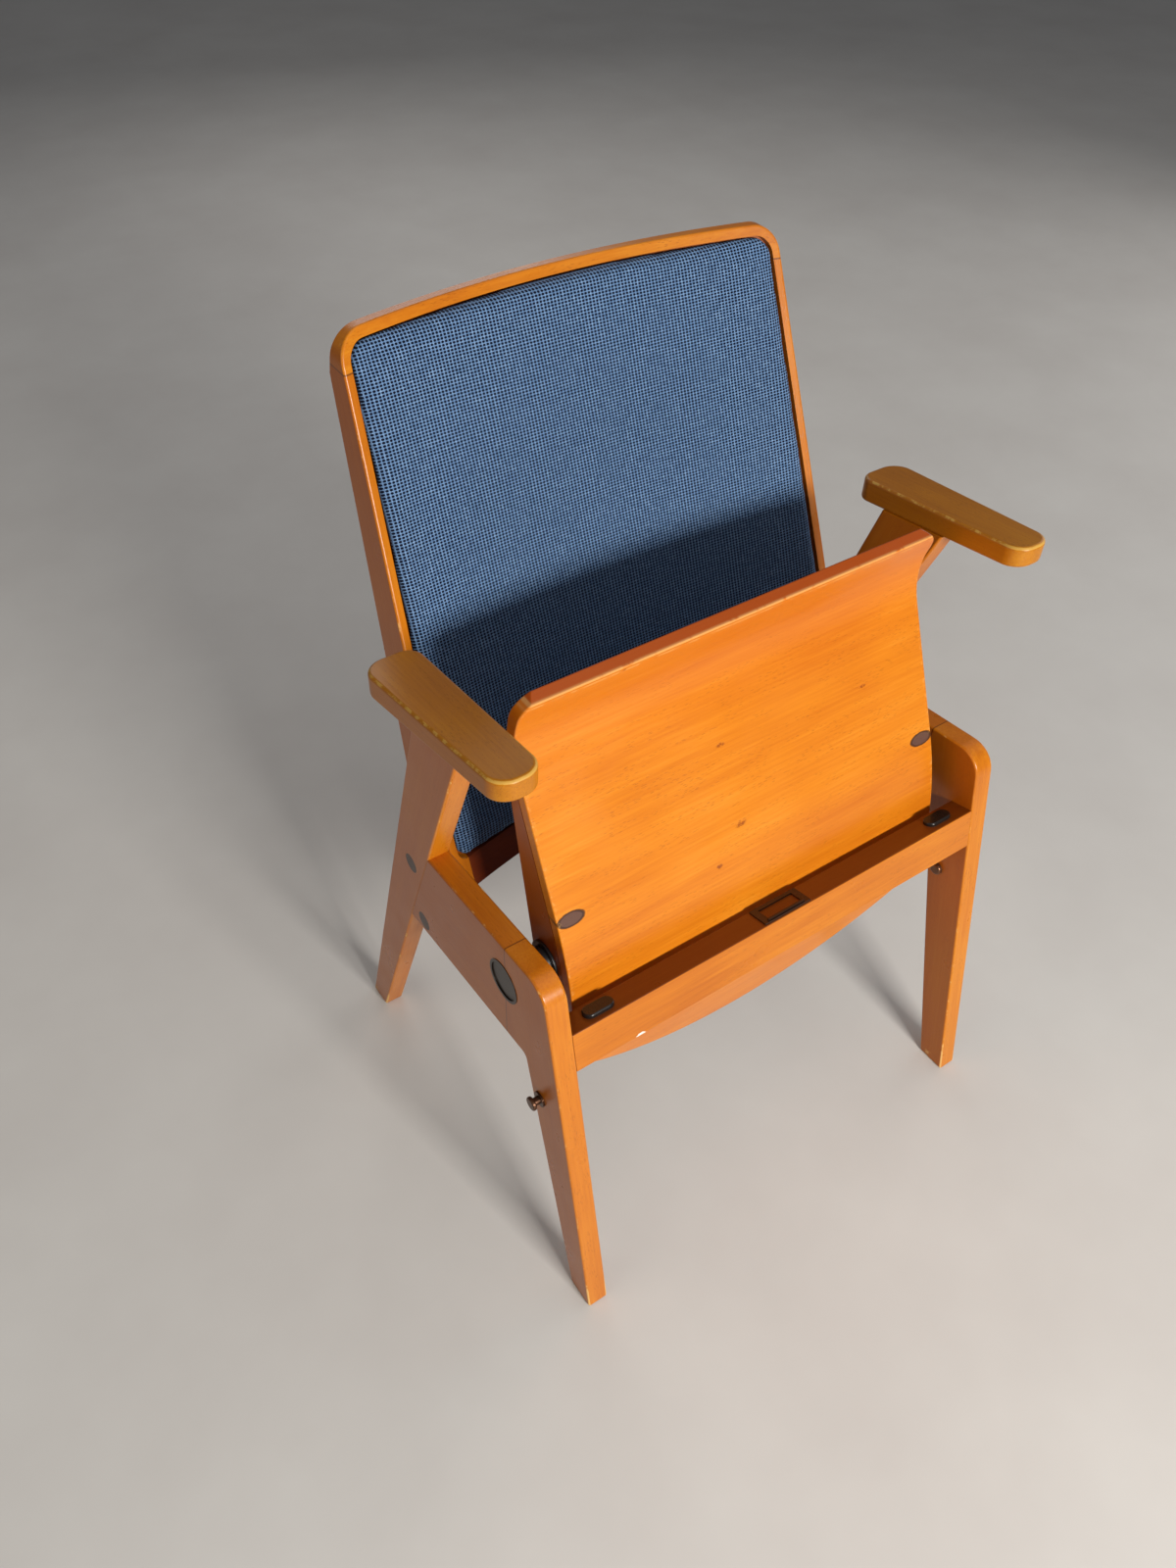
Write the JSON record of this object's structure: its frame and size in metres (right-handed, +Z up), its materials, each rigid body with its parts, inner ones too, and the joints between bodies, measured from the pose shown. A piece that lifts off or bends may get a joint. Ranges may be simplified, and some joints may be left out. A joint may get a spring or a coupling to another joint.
{
  "type": "tip up auditorium seat",
  "caption": "Auditorium seat on two splayed beech side frames, with short arms, a blue padded back and a bent plywood seat that tips up on side pivots.",
  "frame": {"origin": "on the floor, at the centre of the seat's footprint", "axes": "+X to the right seen from in front, +Y to the back, +Z up; the sitter faces -Y"},
  "size_m": [0.597, 0.4986, 0.856],
  "materials": {
    "frame_beech": "amber lacquered beech",
    "arm_beech": "amber lacquered beech, worn at the arrises",
    "back_beech": "amber lacquered beech",
    "cheek_beech": "amber lacquered beech",
    "plain_beech": "bare beech",
    "plug_beech": "amber lacquered beech",
    "seat_ply": "lacquered beech plywood",
    "back_ply": "lacquered beech plywood",
    "blue_cloth": "denim blue woven cloth",
    "bronze": "darkened bronze",
    "pivot_metal": "dark brown enamel",
    "black_rubber": "black moulded rubber",
    "black_plastic": "black",
    "nylon": "natural",
    "steel": "zinc plated"
  },
  "bodies": {
    "frame": {"cross_rail": "frame_beech", "label_holder": "bronze", "up_stop_buffers": "black_rubber", "back_panel": "back_ply", "back_pad": "blue_cloth", "back_top_rail": "back_beech", "back_bottom_rail": "back_beech", "armrest_dowels": "plain_beech", "cross_rail_dowels": "plain_beech", "screw_plugs": "plug_beech", "back_screws": "steel", "back_stile_left": "back_beech", "front_leg_left": "frame_beech", "side_rail_left": "frame_beech", "rear_post_left": "frame_beech", "armrest_left": "arm_beech", "stop_bumper_left": "black_rubber", "pivot_cap_left": "pivot_metal", "pivot_bush_left": "nylon", "link_stud_left": "bronze", "link_nut_left": "bronze", "back_stile_right": "back_beech", "front_leg_right": "frame_beech", "side_rail_right": "frame_beech", "rear_post_right": "frame_beech", "armrest_right": "arm_beech", "stop_bumper_right": "black_rubber", "pivot_cap_right": "pivot_metal", "pivot_bush_right": "nylon", "link_stud_right": "bronze", "link_nut_right": "bronze"},
    "seat": {"seat_shell": "seat_ply", "seat_pad": "blue_cloth", "pivot_pin_left": "steel", "pivot_boss_left": "black_plastic", "seat_cheek_left": "cheek_beech", "pivot_pin_right": "steel", "pivot_boss_right": "black_plastic", "seat_cheek_right": "cheek_beech"}
  },
  "joints": [
    {"name": "seat_tip", "type": "hinge", "parent": "frame", "child": "seat", "pos_m": [0, -0.09524, 0.396], "axis": [1, 0, 0], "range_deg": [0, 77.2]}
  ]
}
